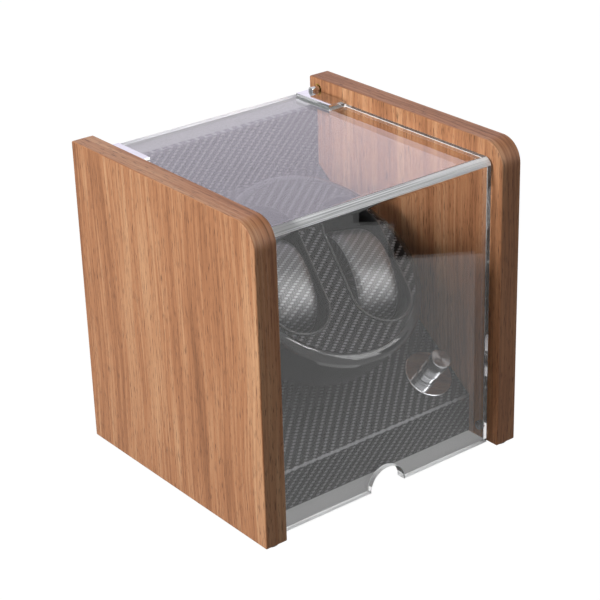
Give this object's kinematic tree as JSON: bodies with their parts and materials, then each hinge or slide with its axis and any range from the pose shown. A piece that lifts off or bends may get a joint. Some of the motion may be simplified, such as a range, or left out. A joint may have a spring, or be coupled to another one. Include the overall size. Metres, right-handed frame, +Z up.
{
  "type": "watch winder",
  "caption": "Wood-sided watch winder with a hinged clear cover, a sloping board, one turning drum and two lift-out watch pillows.",
  "frame": {"origin": "on the floor under the centre of the case", "axes": "+X to the right seen from the front, +Y to the rear, +Z up"},
  "size_m": [0.18, 0.164, 0.184],
  "materials": {
    "walnut": "oiled, vertical grain",
    "fibreboard": "raw",
    "black_board": "black lacquered",
    "pine": "planed",
    "carbon_leather": "twill-weave embossed",
    "pillow_leather": "twill-weave embossed",
    "clear_acrylic": "clear, polished edges",
    "chrome": "polished",
    "turned_metal": "fine turned",
    "dial_mirror": "polished",
    "gloss_black": "high gloss",
    "well_grey": "smooth satin",
    "steel": "plain",
    "brass": "machined",
    "white_nylon": "moulded",
    "black_plastic": "moulded",
    "clear_rubber": "clear, soft",
    "grey_rubber": "soft",
    "pale_felt": "pressed felt",
    "board_green": "lacquered",
    "component_grey": "moulded"
  },
  "bodies": {
    "case": {"right_panel": "walnut", "left_panel": "walnut", "foot_pads": "pale_felt", "cover_stops": "clear_rubber", "hinge_bushes": "brass", "fascia_leather": "carbon_leather", "fascia_board": "fibreboard", "front_skirt": "fibreboard", "base_board": "black_board", "back_panel": "black_board", "back_leather": "carbon_leather", "right_cleat": "pine", "left_cleat": "pine", "right_post": "pine", "left_post": "pine", "case_screws": "steel", "back_screws": "steel", "bearing_sleeve": "brass", "sleeve_nut": "brass", "motor_bracket": "steel", "bracket_posts": "brass", "bracket_screws": "steel", "gear_motor": "steel", "motor_screws": "steel", "dial_plate": "dial_mirror", "switch_collar": "chrome", "rotary_switch": "black_plastic", "circuit_board": "board_green", "pcb_spacers": "white_nylon", "board_components": "component_grey", "power_socket": "black_plastic", "socket_nut": "black_plastic"},
    "cover": {"cover_top": "clear_acrylic", "cover_front": "clear_acrylic", "right_hinge_clip": "chrome", "left_hinge_clip": "chrome", "hinge_liners": "clear_rubber", "hinge_pins": "steel", "hinge_grub_screws": "steel"},
    "rotor": {"rotor_bowl": "gloss_black", "rotor_rim": "gloss_black", "rotor_face": "black_plastic", "face_leather": "carbon_leather", "right_well": "well_grey", "left_well": "well_grey", "hub_screw": "steel", "spindle": "steel", "spindle_clip": "steel", "drive_gear": "white_nylon"},
    "motor_output": {"pinion": "brass", "motor_shaft": "steel"},
    "speed_knob": {"knob": "turned_metal", "knob_screw": "steel", "switch_shaft": "steel"},
    "right_cushion": {"right_pillow": "pillow_leather"},
    "left_cushion": {"left_pillow": "pillow_leather"}
  },
  "joints": [
    {"name": "cover_hinge", "type": "hinge", "parent": "case", "child": "cover", "pos_m": [0, 0.074, 0.1777], "axis": [-1, 0, 0], "range_deg": [0, 95]},
    {"name": "rotor_spin", "type": "hinge", "parent": "case", "child": "rotor", "pos_m": [0, 0.00945, 0.07592], "axis": [0, -0.6088, 0.7934], "continuous": true},
    {"name": "pinion_spin", "type": "hinge", "parent": "case", "child": "motor_output", "pos_m": [-0.03, 0.00945, 0.07592], "axis": [0, -0.6088, 0.7934], "continuous": true},
    {"name": "knob_turn", "type": "hinge", "parent": "case", "child": "speed_knob", "pos_m": [0.0584, -0.03966, 0.03824], "axis": [0, -0.6088, 0.7934], "range_deg": [-270, 0]},
    {"name": "right_pillow_lift", "type": "slide", "parent": "rotor", "child": "right_cushion", "axis": [0, -0.6088, 0.7934], "range_m": [0, 0.038]},
    {"name": "left_pillow_lift", "type": "slide", "parent": "rotor", "child": "left_cushion", "axis": [0, -0.6088, 0.7934], "range_m": [0, 0.038]}
  ],
  "couplings": [
    {"joint": "pinion_spin", "follows": "rotor_spin", "ratio": -4}
  ]
}
